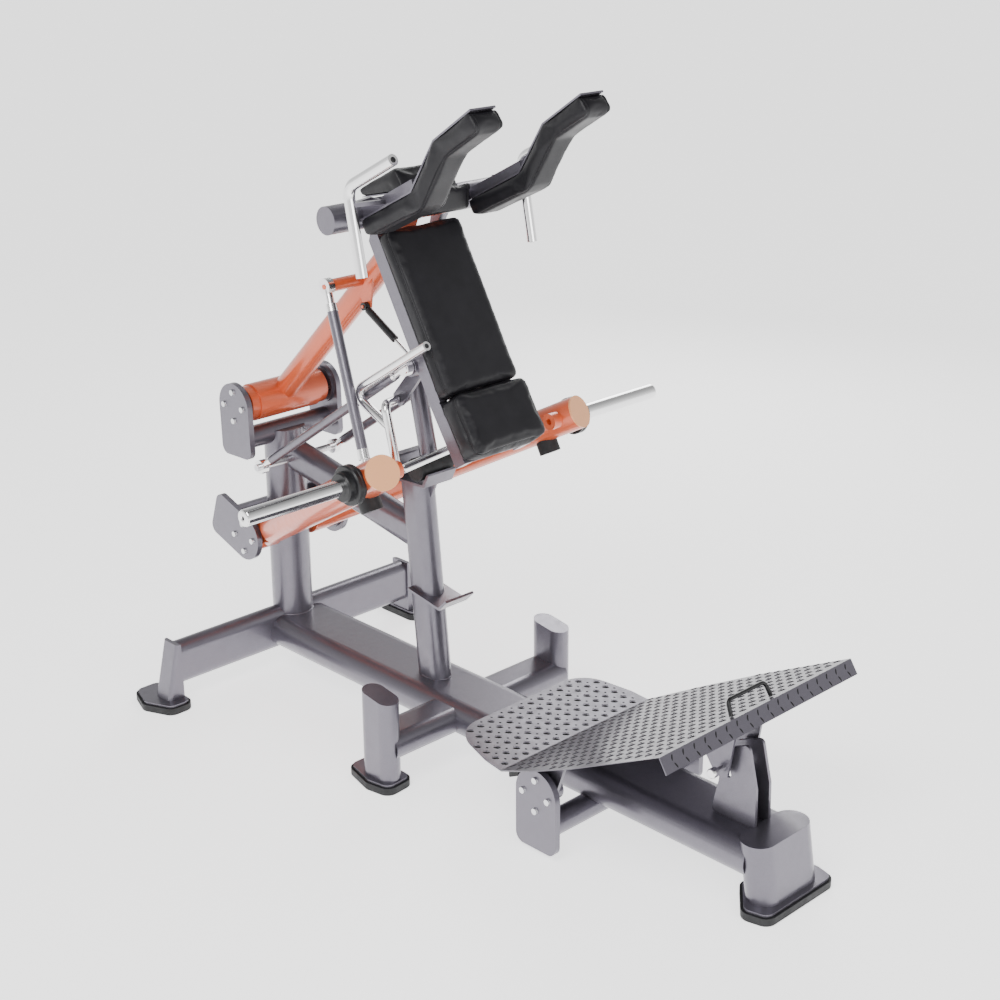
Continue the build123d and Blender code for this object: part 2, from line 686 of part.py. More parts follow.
rod_top, rod_foot = at(rod_high_x, *rod_high), at(rod_low_x, *rod_low)
rod_length = (rod_foot - rod_top).length
with BuildPart() as push_rods:
    bar(between(rod_top, rod_foot, 0.13), between(rod_top, rod_foot, 0.83), rod_radius)
    mirror(about=Plane.YZ)
push_rods.part.label = "push_rods"
export_step(push_rods.part, "parts/push_rods.step")

with BuildPart() as push_rod_ends:
    for place, share, x, high in ((rod_high, 0.0, rod_high_x, 0.13), (rod_low, 1.0, rod_low_x, 0.83)):
        side_disc(x - 12, x + 12, place, 26)
        bar(between(rod_top, rod_foot, share), between(rod_top, rod_foot, high), 12)
        bar(between(rod_top, rod_foot, high + (share - high) * 0.3), between(rod_top, rod_foot, high), 18)
    cross_bar(rod_high_x - 30, rod_high_x + 30, rod_high, pin_radius + fit, Mode.SUBTRACT)
    mirror(about=Plane.YZ)
push_rod_ends.part.label = "push_rod_ends"
export_step(push_rod_ends.part, "parts/push_rod_ends.step")

spring_run = unit(spring_high, spring_low)
with BuildPart() as gas_spring_body:
    bar(at(spring_x, *shifted(spring_high, spring_run, 18)), at(spring_x, *shifted(spring_high, spring_run, 162)), 12)
    bar(at(spring_x, *spring_high), at(spring_x, *shifted(spring_high, spring_run, 18)), 6)
    side_disc(spring_x - 8, spring_x + 8, spring_high, 13)
    cross_bar(spring_x - 8, spring_x + 8, spring_high, 5 + fit, Mode.SUBTRACT)
    bore = [at(spring_x, *shifted(spring_high, spring_run, distance)) for distance in (22, 162)]
    bar(*bore, 5 + fit, Mode.SUBTRACT)
gas_spring_body.part.label = "gas_spring_body"
export_step(gas_spring_body.part, "parts/gas_spring_body.step")

with BuildPart() as gas_spring_rod:
    bar(at(spring_x, *shifted(spring_high, spring_run, 24)), at(spring_x, *spring_low), 5)
    side_disc(spring_x - 8, spring_x + 8, spring_low, 13)
gas_spring_rod.part.label = "gas_spring_rod"
export_step(gas_spring_rod.part, "parts/gas_spring_rod.step")

# ---------------------------------------------------------------- weight lever
arm_start = at(*arm_front)
arm_direction = Vector(*arm_run)
horn_x, collar_low, horn_seat = 425.0, 440.0, 506.0
with BuildPart() as lever_arm_form:
    bar(arm_start, arm_start + arm_direction * arm_length, lever_arm_radius)
    mirror(about=Plane.YZ)

with BuildPart() as weight_lever:
    bar(arm_start + arm_direction * 5, arm_start + arm_direction * arm_length, lever_arm_radius)
    cross_bar(78, 160, lower_pivot, 57)
    bar(arm_start + arm_direction * 5, arm_start + arm_direction * 860, lever_arm_radius - wall, Mode.SUBTRACT)
    with BuildSketch(side_at(0)):
        Rectangle(4000, 4000)
    extrude(amount=78, mode=Mode.SUBTRACT)
    cross_bar(160, 210, lower_pivot, 95, Mode.SUBTRACT)
    cross_bar(78, 160, lower_pivot, shaft_radius, Mode.SUBTRACT)
    mirror(about=Plane.YZ)
weight_lever.part.label = "weight_lever"
export_step(weight_lever.part, "parts/weight_lever.step")

with BuildPart() as lever_bosses:
    cross_bar(316, 380, (-969, 1039), 27)
    cross_bar(316, 330, (-969, 1039), 10, Mode.SUBTRACT)
    mirror(about=Plane.YZ)
    add(lever_arm_form.part, mode=Mode.SUBTRACT)
lever_bosses.part.label = "lever_bosses"
export_step(lever_bosses.part, "parts/lever_bosses.step")

with BuildPart() as rod_pins:
    cross_bar(271, 310, rod_low, pin_radius)
    cross_bar(271, 280, rod_low, 14)
    mirror(about=Plane.YZ)
    add(lever_arm_form.part, mode=Mode.SUBTRACT)
rod_pins.part.label = "rod_pins"
export_step(rod_pins.part, "parts/rod_pins.step")

with BuildPart() as lever_caps:
    bar(arm_start, arm_start + arm_direction * 5, lever_arm_radius)
    mirror(about=Plane.YZ)
lever_caps.part.label = "lever_caps"
export_step(lever_caps.part, "parts/lever_caps.step")

bumper_face, bumper_way = at(side_post_x, -918, 910), Vector(0, 0.475, 0.88)
with BuildPart() as bumpers:
    bar(bumper_face, bumper_face + bumper_way * 60, 35)
    mirror(about=Plane.YZ)
    add(lever_arm_form.part, mode=Mode.SUBTRACT)
bumpers.part.label = "bumpers"
export_step(bumpers.part, "parts/bumpers.step")

with BuildPart() as plate_collars:
    side_disc(collar_low, collar_low + 12, horn, 50, horn_radius - gap)
    side_disc(collar_low + 12, collar_low + 42, horn, 61, horn_radius - gap)
    side_disc(collar_low + 42, collar_low + 65, horn, 45, horn_radius - gap)
    mirror(about=Plane.YZ)
    add(lever_arm_form.part, mode=Mode.SUBTRACT)
plate_collars.part.label = "plate_collars"
export_step(plate_collars.part, "parts/plate_collars.step")

with BuildPart() as weight_horns:
    cross_bar(horn_x, horn_seat, horn, horn_radius - gap)
    cross_bar(horn_seat, horn_end, horn, horn_radius)
    mirror(about=Plane.YZ)
    add(lever_arm_form.part, mode=Mode.SUBTRACT)
weight_horns.part.label = "weight_horns"
export_step(weight_horns.part, "parts/weight_horns.step")

with BuildPart() as horn_caps:
    side_disc(horn_end, horn_end + 4, horn, horn_radius - 1, 5)
    mirror(about=Plane.YZ)
horn_caps.part.label = "horn_caps"
export_step(horn_caps.part, "parts/horn_caps.step")

with BuildPart() as lower_shaft:
    cross_bar(-179, 179, lower_pivot, shaft_radius)
lower_shaft.part.label = "lower_shaft"
export_step(lower_shaft.part, "parts/lower_shaft.step")

# ---------------------------------------------------------------- footplate
fold = (fold_y, fold_z)
rear_edge = turned((fold_y + rear_length, fold_z), fold, -rear_slope)
front_edge = turned((fold_y - front_length, fold_z), fold, -front_slope)
rear_down = (sin(radians(-rear_slope)), -1.0)
front_down = (-sin(radians(front_slope)), -cos(radians(front_slope)))

with BuildPart() as footplate:
    side_plate(
        -front_half,
        front_half,
        [
            rear_edge,
            fold,
            front_edge,
            shifted(front_edge, (-0.55, -0.835), 49),
            shifted(shifted(front_edge, (-0.55, -0.835), 49), (0.835, -0.55), sheet),
            shifted(shifted(front_edge, front_down, sheet), (1, 0.5), sheet),
            shifted(fold, (0, -1), sheet * 1.03),
            shifted(rear_edge, rear_down, sheet),
        ],
    )
    with BuildSketch() as plan:
        with BuildLine():
            Polyline(
                (-rear_half, rear_edge[0] + post_y),
                (-fold_half, fold_y + post_y + 70),
                (-fold_half - 4, fold_y + post_y),
                (-fold_half - 58, fold_y + post_y - 170),
                (-front_half + 4, fold_y + post_y - 370),
                (-front_half, front_edge[0] + post_y + 60),
                (-front_half, front_edge[0] + post_y - 60),
                (front_half, front_edge[0] + post_y - 60),
                (front_half, front_edge[0] + post_y + 60),
                (front_half - 4, fold_y + post_y - 370),
                (fold_half + 58, fold_y + post_y - 170),
                (fold_half + 4, fold_y + post_y),
                (fold_half, fold_y + post_y + 70),
                (rear_half, rear_edge[0] + post_y),
                close=True,
            )
        make_face()
        fillet(plan.vertices().group_by(Axis.Y)[-1], 110)
    extrude(amount=700, mode=Mode.INTERSECT)
footplate.part.label = "footplate"
export_step(footplate.part, "parts/footplate.step")

lug_low, lug_high = 250.0, 294.0
with BuildPart() as footplate_lugs:
    side_plate(lug_high - 12, lug_high, [(-1480, 240), (-1640, 325), (-1590, 180), (-1551, 160), (-1512, 175)], 8)
    cross_bar(lug_low, lug_high, foot_pivot, 36)
    cross_bar(lug_low, lug_high, foot_pivot, shaft_radius, Mode.SUBTRACT)
    mirror(about=Plane.YZ)
    add(footplate.part, mode=Mode.SUBTRACT)
    side_plate(-62, -54, [(-1900, 455), (-2060, 535), (-2030, 335), (-1990, 330)], 8)
    side_plate(54, 62, [(-1900, 455), (-2060, 535), (-2030, 335), (-1990, 330)], 8)
    cross_bar(-62, 62, lock_pin, pin_radius, Mode.SUBTRACT)
footplate_lugs.part.label = "footplate_lugs"
export_step(footplate_lugs.part, "parts/footplate_lugs.step")

with BuildPart() as foot_shafts:
    cross_bar(lug_low, foot_pivot_half - plate_thickness - 1, foot_pivot, shaft_radius)
    mirror(about=Plane.YZ)
foot_shafts.part.label = "foot_shafts"
export_step(foot_shafts.part, "parts/foot_shafts.step")

with BuildPart() as sector_plates:
    side_plate(25, 35, [(-1957, 195), (-2113, 195), (-2110, 318), (-2079, 445), (-1988, 405), (-1980, 300)], 14)
    for step in range(-3, 4):
        cross_bar(20, 40, turned(lock_pin, foot_pivot, step), pin_radius + 2, Mode.SUBTRACT)
    mirror(about=Plane.YZ)
    add(spine_form.part, mode=Mode.SUBTRACT)
    add(leg_form.part, mode=Mode.SUBTRACT)
sector_plates.part.label = "sector_plates"
export_step(sector_plates.part, "parts/sector_plates.step")

with BuildPart() as footplate_pin:
    cross_bar(-80, 72, lock_pin, pin_radius - fit)
    cross_bar(-104, -80, lock_pin, 15)
footplate_pin.part.label = "footplate_pin"
export_step(footplate_pin.part, "parts/footplate_pin.step")

staple_base, staple_top = (-2054.0, 545.0), (-2034.0, 584.0)
with BuildPart() as staple_handle:
    bent_bar([at(-87, *staple_base), at(-80, *staple_top), at(80, *staple_top), at(87, *staple_base)], 18, 6)
    add(footplate.part, mode=Mode.SUBTRACT)
staple_handle.part.label = "staple_handle"
export_step(staple_handle.part, "parts/staple_handle.step")

with BuildPart() as footplate_rubbers:
    side_plate(262, 300, [(-1412, 208), (-1450, 227), (-1450, 205), (-1412, 186)], 3)
    mirror(about=Plane.YZ)
    add(footplate.part, mode=Mode.SUBTRACT)
footplate_rubbers.part.label = "footplate_rubbers"
export_step(footplate_rubbers.part, "parts/footplate_rubbers.step")
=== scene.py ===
import json
import math

import bmesh
import bpy
from mathutils import Matrix, Vector
from mathutils.bvhtree import BVHTree
import numpy as np


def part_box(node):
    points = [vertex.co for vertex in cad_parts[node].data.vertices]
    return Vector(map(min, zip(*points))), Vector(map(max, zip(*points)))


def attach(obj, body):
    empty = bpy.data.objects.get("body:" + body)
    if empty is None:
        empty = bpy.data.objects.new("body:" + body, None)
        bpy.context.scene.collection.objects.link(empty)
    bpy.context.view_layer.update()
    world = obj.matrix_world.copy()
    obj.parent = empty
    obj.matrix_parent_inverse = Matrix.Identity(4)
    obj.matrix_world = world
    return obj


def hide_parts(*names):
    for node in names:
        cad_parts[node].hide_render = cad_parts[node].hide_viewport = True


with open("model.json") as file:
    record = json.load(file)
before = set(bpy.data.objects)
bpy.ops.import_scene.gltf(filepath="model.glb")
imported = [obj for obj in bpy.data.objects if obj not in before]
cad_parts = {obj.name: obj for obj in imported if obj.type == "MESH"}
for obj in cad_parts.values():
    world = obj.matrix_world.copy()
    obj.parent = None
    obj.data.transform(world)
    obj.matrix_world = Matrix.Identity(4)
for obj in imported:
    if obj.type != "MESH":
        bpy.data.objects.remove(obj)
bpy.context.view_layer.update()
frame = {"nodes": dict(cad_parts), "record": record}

# The rear post's axis: places below are (x, y, z) in metres, with y counted from it.
post_low, post_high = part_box("rear_post")
POST_Y = (post_low.y + post_high.y) / 2


def place(x, y, z):
    """A point whose y is counted from the rear post's axis."""
    return Vector((x, y + POST_Y, z))


# ---------------------------------------------------------------- camera
AZIMUTH, ELEVATION, ROLL = math.radians(-44.018), math.radians(20.475), math.radians(-0.343)
CAMERA_LENS, CAMERA_SENSOR = 63.444, 36.0
CAMERA_AT = (-3.48765, -4.68016, 2.76)
forward = Vector(
    (
        -math.sin(AZIMUTH) * math.cos(ELEVATION),
        math.cos(AZIMUTH) * math.cos(ELEVATION),
        -math.sin(ELEVATION),
    )
)
level_right = Vector((math.cos(AZIMUTH), math.sin(AZIMUTH), 0))
level_up = level_right.cross(forward)
right = level_right * math.cos(ROLL) + level_up * math.sin(ROLL)
up = level_up * math.cos(ROLL) - level_right * math.sin(ROLL)
camera = bpy.data.objects.new("camera", bpy.data.cameras.new("camera"))
bpy.context.scene.collection.objects.link(camera)
camera.data.lens, camera.data.sensor_width = CAMERA_LENS, CAMERA_SENSOR
axes = Matrix((right, up, -forward)).transposed().to_4x4()
camera.matrix_world = Matrix.Translation(place(*CAMERA_AT)) @ axes
bpy.context.scene.camera = camera


# ---------------------------------------------------------------- materials
class Paint:
    """A node material under construction, with object coordinates in metres."""

    def __init__(self, name, colour, roughness, metallic=0.0, **sockets):
        self.material = bpy.data.materials.new(name)
        self.material.use_nodes = True
        self.nodes, self.links = self.material.node_tree.nodes, self.material.node_tree.links
        self.shader = self.nodes["Principled BSDF"]
        self.coordinates = self.nodes.new("ShaderNodeTexCoord").outputs["Object"]
        self.shader.inputs["Base Color"].default_value = (*colour, 1)
        self.shader.inputs["Roughness"].default_value = roughness
        self.shader.inputs["Metallic"].default_value = metallic
        for socket, value in sockets.items():
            self.shader.inputs[socket.replace("_", " ")].default_value = value
        self.normal = None

    def noise(self, scale, detail=3.0, stretch=(1, 1, 1)):
        mapping = self.nodes.new("ShaderNodeMapping")
        mapping.inputs["Scale"].default_value = stretch
        self.links.new(self.coordinates, mapping.inputs["Vector"])
        texture = self.nodes.new("ShaderNodeTexNoise")
        texture.inputs["Scale"].default_value = scale
        texture.inputs["Detail"].default_value = detail
        self.links.new(mapping.outputs["Vector"], texture.inputs["Vector"])
        return texture.outputs["Fac"]

    def cells(self, scale):
        texture = self.nodes.new("ShaderNodeTexVoronoi")
        texture.feature = "DISTANCE_TO_EDGE"
        texture.inputs["Scale"].default_value = scale
        self.links.new(self.coordinates, texture.inputs["Vector"])
        return texture.outputs["Distance"]

    def ramp(self, value, low, high, start=0.3, end=0.7):
        node = self.nodes.new("ShaderNodeMapRange")
        node.inputs["From Min"].default_value, node.inputs["From Max"].default_value = start, end
        node.inputs["To Min"].default_value, node.inputs["To Max"].default_value = low, high
        self.links.new(value, node.inputs["Value"])
        return node.outputs["Result"]

    def tint(self, value, dark, light):
        node = self.nodes.new("ShaderNodeValToRGB")
        node.color_ramp.elements[0].position, node.color_ramp.elements[1].position = 0.3, 0.7
        node.color_ramp.elements[0].color, node.color_ramp.elements[1].color = (*dark, 1), (*light, 1)
        self.links.new(value, node.inputs["Fac"])
        self.links.new(node.outputs["Color"], self.shader.inputs["Base Color"])

    def rough(self, value, low, high):
        self.links.new(self.ramp(value, low, high), self.shader.inputs["Roughness"])

    def bump(self, value, strength, distance):
        node = self.nodes.new("ShaderNodeBump")
        node.inputs["Strength"].default_value = strength
        node.inputs["Distance"].default_value = distance
        self.links.new(value, node.inputs["Height"])
        if self.normal:
            self.links.new(self.normal, node.inputs["Normal"])
        self.normal = node.outputs["Normal"]
        self.links.new(self.normal, self.shader.inputs["Normal"])


def powder_coat(name, dark, light, metallic, coat):
    """Gloss powder coat: fine flake in the colour, orange peel and a clear coat."""
    paint = Paint(name, light, 0.35, metallic, Coat_Weight=coat, Coat_Roughness=0.12)
    paint.tint(paint.noise(900, 2), dark, light)
    paint.rough(paint.noise(35), 0.30, 0.42)
    paint.bump(paint.noise(260, 2), 0.12, 0.0004)
    paint.bump(paint.noise(1400, 1), 0.08, 0.0001)
    return paint.material


def polished(name, colour, low, high, stretch):
    """Polished or plated metal with faint drawing marks and smudges."""
    paint = Paint(name, colour, low, 1.0)
    paint.rough(paint.noise(14), low, high)
    paint.bump(paint.noise(300, 2, stretch), 0.05, 0.0002)
    return paint.material


def moulded(name, dark, light, low, high, grain, depth):
    """Moulded rubber or plastic with a fine grain and slight wear in the gloss."""
    paint = Paint(name, light, high, Specular_IOR_Level=0.4)
    paint.tint(paint.noise(60), dark, light)
    paint.rough(paint.noise(25), low, high)
    paint.bump(paint.noise(grain, 3), 0.35, depth)
    return paint.material


def leatherette(name, dark, light):
    """Satin upholstery vinyl: pebbled cells, fine pores and a slow change of tone."""
    paint = Paint(name, light, 0.45, Specular_IOR_Level=0.32)
    paint.tint(paint.noise(22), dark, light)
    paint.rough(paint.noise(9), 0.38, 0.52)
    paint.bump(paint.cells(520), 0.30, 0.0005)
    paint.bump(paint.noise(45, 2), 0.15, 0.0008)
    return paint.material


materials = {
    "frame_gray": powder_coat("frame_gray", (0.135, 0.126, 0.152), (0.19, 0.178, 0.212), 0.80, 0.45),
    "arm_orange": powder_coat("arm_orange", (0.60, 0.095, 0.028), (0.74, 0.13, 0.04), 0.25, 0.7),
    "cap_light": powder_coat("cap_light", (0.72, 0.31, 0.13), (0.82, 0.40, 0.19), 0.0, 0.3),
    "pad_black": leatherette("pad_black", (0.0050, 0.0046, 0.0065), (0.0080, 0.0075, 0.010)),
    "rubber_black": moulded(
        "rubber_black", (0.008, 0.008, 0.009), (0.016, 0.016, 0.018), 0.5, 0.7, 700, 0.0003
    ),
    "plastic_black": moulded(
        "plastic_black", (0.008, 0.008, 0.009), (0.014, 0.014, 0.016), 0.28, 0.42, 900, 0.0002
    ),
    # painted shade: the footplate's slots, a darker copy of its rubber
    "painted_slot_shade": moulded(
        "painted_slot_shade", (0.0025, 0.0025, 0.003), (0.004, 0.004, 0.0045), 0.8, 0.95, 700, 0.0002
    ),
    "sheet_gray": powder_coat("sheet_gray", (0.085, 0.078, 0.098), (0.125, 0.116, 0.142), 0.6, 0.25),
    "chrome": polished("chrome", (0.90, 0.895, 0.90), 0.10, 0.20, (1, 6, 6)),
    "steel": polished("steel", (0.72, 0.72, 0.74), 0.22, 0.36, (1, 1, 1)),
}
slots = {part["node"]: part["material_slot"] for part in frame["record"]["subparts"]}
# The bearings are painted with the frame, and the footplate's paint is darker than the frame's.
painted = {"flange_bearings": "frame_gray", "footplate": "sheet_gray"}
for node, part in frame["nodes"].items():
    part.data.materials.clear()
    part.data.materials.append(materials[painted.get(node, slots[node])])


# ---------------------------------------------------------------- helpers for pieces
def finish_piece(piece, body, slot):
    """Gives a piece its material and lets it ride on a body."""
    piece.data.materials.clear()
    piece.data.materials.append(materials[slot])
    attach(piece, body)
    return piece


def mesh_piece(name, bm, body, slot):
    """A piece from bmesh geometry that is already in place."""
    mesh = bpy.data.meshes.new(name)
    for face in bm.faces:
        face.smooth = True
    bm.to_mesh(mesh)
    bm.free()
    piece = bpy.data.objects.new(name, mesh)
    bpy.context.scene.collection.objects.link(piece)
    return finish_piece(piece, body, slot)


def loop_piece(name, loops, radius, body, slot):
    """A thin round bead along closed polylines, such as piping or a weld."""
    curve = bpy.data.curves.new(name, "CURVE")
    curve.dimensions, curve.bevel_depth, curve.bevel_resolution = "3D", radius, 2
    for points in loops:
        spline = curve.splines.new("POLY")
        spline.points.add(len(points) - 1)
        for point, where in zip(spline.points, points):
            point.co = (*where, 1)
        spline.use_cyclic_u = True
    piece = bpy.data.objects.new(name, curve)
    bpy.context.scene.collection.objects.link(piece)
    return finish_piece(piece, body, slot)


def apply_modifiers(piece):
    """Replaces a piece's mesh by the result of its modifiers."""
    graph = bpy.context.evaluated_depsgraph_get()
    mesh = bpy.data.meshes.new_from_object(piece.evaluated_get(graph))
    piece.modifiers.clear()
    piece.data = mesh


def read_mesh(mesh):
    """A mesh's vertex places and normals as arrays."""
    places, normals = np.zeros((len(mesh.vertices), 3)), np.zeros((len(mesh.vertices), 3))
    for name, values in (("co", places), ("normal", normals)):
        flat = np.zeros(values.size, np.float32)
        mesh.vertices.foreach_get(name, flat)
        values[:] = flat.reshape(-1, 3)
    return places, normals


def write_mesh(mesh, places):
    """Moves a mesh's vertices."""
    mesh.vertices.foreach_set("co", places.astype(np.float32).ravel())
    mesh.update()


# ---------------------------------------------------------------- cushions
VOXEL = 0.005
PRESSURE, PRESSURE_FRAMES = 4.0, 20
RELAX_STEPS = 8
PIPING_RADIUS = 0.0013
SEAM_WIDTH, SEAM_DEPTH = 0.0035, 0.0016
SHORTEST_SEAM = 12  # points; shorter cuts are stray corners


def cushion(node, body, swell, rounding, seams):
    """The padded cover of a CAD pad: rounded, inflated by cloth pressure, with piping.

    No point moves further than swell. The piping runs where the cover is cut by the planes
    in seams, which are (point, direction) pairs.
    """
    piece = bpy.data.objects.new(node + "_cover", frame["nodes"][node].data.copy())
    bpy.context.scene.collection.objects.link(piece)
    remesh = piece.modifiers.new("remesh", "REMESH")
    remesh.mode, remesh.voxel_size = "VOXEL", VOXEL
    smooth = piece.modifiers.new("smooth", "SMOOTH")
    smooth.factor, smooth.iterations = 0.5, rounding
    apply_modifiers(piece)
    start, normals = read_mesh(piece.data)
    cloth = piece.modifiers.new("cloth", "CLOTH")
    cloth.settings.use_pressure = True
    cloth.settings.uniform_pressure_force = PRESSURE
    cloth.settings.effector_weights.gravity = 0
    cloth.settings.tension_stiffness = 25
    cloth.settings.quality = 4
    cloth.collision_settings.use_collision = False
    cloth.point_cache.frame_end = PRESSURE_FRAMES
    for step in range(1, PRESSURE_FRAMES + 1):
        bpy.context.scene.frame_set(step)
    graph = bpy.context.evaluated_depsgraph_get()
    swollen, _ = read_mesh(piece.evaluated_get(graph).data)
    piece.modifiers.clear()
    bpy.context.scene.frame_set(1)
    move = swollen - start
    far = np.maximum(np.linalg.norm(move, axis=1, keepdims=True), 1e-6)
    moved = start + move * np.minimum(1.0, swell / far)
    write_mesh(piece.data, moved)
    relax = piece.modifiers.new("relax", "SMOOTH")
    relax.factor, relax.iterations = 0.5, RELAX_STEPS
    subdivision = piece.modifiers.new("subdivision", "SUBSURF")
    subdivision.levels = subdivision.render_levels = 1
    apply_modifiers(piece)
    piece.data.polygons.foreach_set("use_smooth", [True] * len(piece.data.polygons))
    loops = []
    for point, direction in seams:
        loops += seam(piece, Vector(point), Vector(direction).normalized())
    finish_piece(piece, body, "pad_black")
    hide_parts(node)
    if loops:
        loop_piece(node + "_piping", loops, PIPING_RADIUS, body, "pad_black")


def seam(piece, point, direction):
    """Presses a seam groove into a cover along a plane's cut and returns the cut's loops."""
    places, normals = read_mesh(piece.data)
    along = np.array(direction)
    distance = (places - np.array(point)) @ along
    sideways = normals - np.outer(normals @ along, along)
    length = np.linalg.norm(sideways, axis=1)
    depth = SEAM_DEPTH * np.exp(-((distance / SEAM_WIDTH) ** 2)) * (length > 0.5)
    places -= sideways / np.maximum(length, 1e-6)[:, None] * depth[:, None]
    write_mesh(piece.data, places)
    bm = bmesh.new()
    bm.from_mesh(piece.data)
    cut = bmesh.ops.bisect_plane(
        bm, geom=bm.verts[:] + bm.edges[:] + bm.faces[:], plane_co=point, plane_no=direction
    )
    edges = [item for item in cut["geom_cut"] if isinstance(item, bmesh.types.BMEdge)]
    links = {}
    for edge in edges:
        a, b = edge.verts
        links.setdefault(a, []).append(b)
        links.setdefault(b, []).append(a)
    loops = []
    while links:
        first = next(iter(links))
        path, here = [first], first
        while True:
            onward = [v for v in links.pop(here, []) if v in links]
            if not onward:
                break
            here = onward[0]
            path.append(here)
        if len(path) > SHORTEST_SEAM:
            loops.append([v.co.copy() for v in path])
    bm.free()
    return loops


def front_of(low, high, depth):
    """A plane parallel to the line from low to high in side view, at a depth in front of it."""
    along = Vector((0, high[0] - low[0], high[1] - low[1])).normalized()
    ahead = Vector((0, -along.z, along.y))
    return place(0, *low) + ahead * depth, ahead


def side_seams(node, inset):
    """The planes of the seams that run round a pad, at an inset from its two sides."""
    low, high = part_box(node)
    return [((low.x + inset, 0, 0), SIDEWAYS), ((high.x - inset, 0, 0), SIDEWAYS)]


SIDEWAYS = (1, 0, 0)
# The pads' boards in side view, as (y, z) from the low end to the high end.
BACK_LINE = ((-0.960, 1.203), (-0.695, 1.665))
LUMBAR_LINE = ((-1.065, 1.035), (-0.960, 1.197))
cushion("back_pad", "carriage", 0.006, 12, [front_of(*BACK_LINE, depth) for depth in (0.046, 0.010)])
cushion("lumbar_pad", "carriage", 0.006, 12, [front_of(*LUMBAR_LINE, depth) for depth in (0.068, 0.012)])
for node in ("shoulder_pad_left", "shoulder_pad_right"):
    cushion(node, "carriage", 0.005, 10, side_seams(node, 0.014))
cushion("headrest", "carriage", 0.005, 8, side_seams("headrest", 0.012))

# ---------------------------------------------------------------- footplate tread
FOLD_Y = -1.404
# The sheet on each side of its fold: (way along Y, slope, the first row's distance from the fold).
SHEET_HALVES = ((1, math.radians(5.4), 0.0175), (-1, math.radians(26.7), 0.0215))
HALF_COLUMNS, ROWS = 10, 20
PITCH_X, PITCH_ALONG = 0.0433, 0.039
COLUMN_SHIFT = 0.26  # of a pitch
DASH_LENGTH, DASH_WIDTH, DASH_BOW, DASH_MARGIN = 0.025, 0.0105, 0.0018, 0.009
DOT, DOT_SHIFT, DOT_MARGIN = 0.0042, 0.45, 0.006
LIP_AWAY, LIP_WIDTH, LIP_HEIGHT = 0.0085, 0.0045, 0.0016
MARK_HEIGHT, MARK_ROOT = 0.0006, 0.0003
sheet_node = frame["nodes"]["footplate"]
sheet_bm = bmesh.new()
sheet_bm.from_mesh(sheet_node.data)
bmesh.ops.triangulate(sheet_bm, faces=sheet_bm.faces[:])
sheet_tree = BVHTree.FromBMesh(sheet_bm)
DOWN = Vector((0, 0, -1))


def on_sheet(x, y, margin):
    """The point and normal of the footplate's top at x and y, if it goes on by margin all round."""
    found = None
    for dx, dy in ((margin, margin), (-margin, margin), (margin, -margin), (-margin, -margin), (0, 0)):
        point, normal, _, _ = sheet_tree.ray_cast(place(x + dx, y + dy, 1.0), DOWN)
        if point is None or normal.z < 0.5:
            return None
        if found and (normal - found[1]).length > 0.02:
            return None
        found = (point, normal)
    return found


def blob(bm, point, normal, along, length, width, height, bow=0.0, steps=10):
    """A low rounded boss, bowed sideways like a crescent, standing on a surface."""
    across = normal.cross(along).normalized()
    base, top = [], []
    for step in range(2 * steps):
        turn = math.pi * step / steps
        u, v = math.cos(turn), math.sin(turn)
        side = v * width / 2 - bow * (1 - u * u)
        foot = point + along * (u * length / 2) + across * side
        inner_side = v * width / 2 * 0.6 - bow * (1 - u * u * 0.75)
        inner = point + along * (u * length / 2 * 0.86) + across * inner_side
        base.append(bm.verts.new(foot - normal * MARK_ROOT))
        top.append(bm.verts.new(inner + normal * height))
    count = len(base)
    for i in range(count):
        j = (i + 1) % count
        bm.faces.new((base[i], base[j], top[j], top[i]))
    bm.faces.new(top)


def painted_shade_marks(name, bm):
    """The footplate's slots as dark patches of painted shade, darker than its rubber though they share
    its slot.
    """
    marks = mesh_piece(name, bm, "footplate", "rubber_black")
    marks.data.materials[0] = materials["painted_slot_shade"]


# Tread slots and dots: dark patches of painted shade, each slot with a raised lip beside it.
slots_bm, lips_bm = bmesh.new(), bmesh.new()
for way, slope, first_row in SHEET_HALVES:
    for row in range(ROWS):
        along_sheet = first_row + row * PITCH_ALONG
        y = FOLD_Y + way * along_sheet * math.cos(slope)
        for column in range(-HALF_COLUMNS, HALF_COLUMNS + 1):
            x = (column + COLUMN_SHIFT) * PITCH_X
            found = on_sheet(x, y, DASH_MARGIN)
            if not found:
                continue
            point, normal = found
            dash = Vector((PITCH_X, -PITCH_ALONG, 0))
            dash = (dash - normal * dash.dot(normal)).normalized()
            blob(slots_bm, point, normal, dash, DASH_LENGTH, DASH_WIDTH, MARK_HEIGHT, DASH_BOW)
            back = normal.cross(dash).normalized()
            lip = point + back * LIP_AWAY
            blob(lips_bm, lip, normal, dash, DASH_LENGTH * 0.8, LIP_WIDTH, LIP_HEIGHT, 0.0016)
            dot = on_sheet(x + DOT_SHIFT * PITCH_X, y + DOT_SHIFT * PITCH_ALONG, DOT_MARGIN)
            if dot:
                blob(slots_bm, dot[0], dot[1], dash, 2 * DOT, 2 * DOT, MARK_HEIGHT, 0.0, 6)
painted_shade_marks("tread_slots", slots_bm)
mesh_piece("tread_lips", lips_bm, "footplate", "frame_gray")
sheet_bm.free()
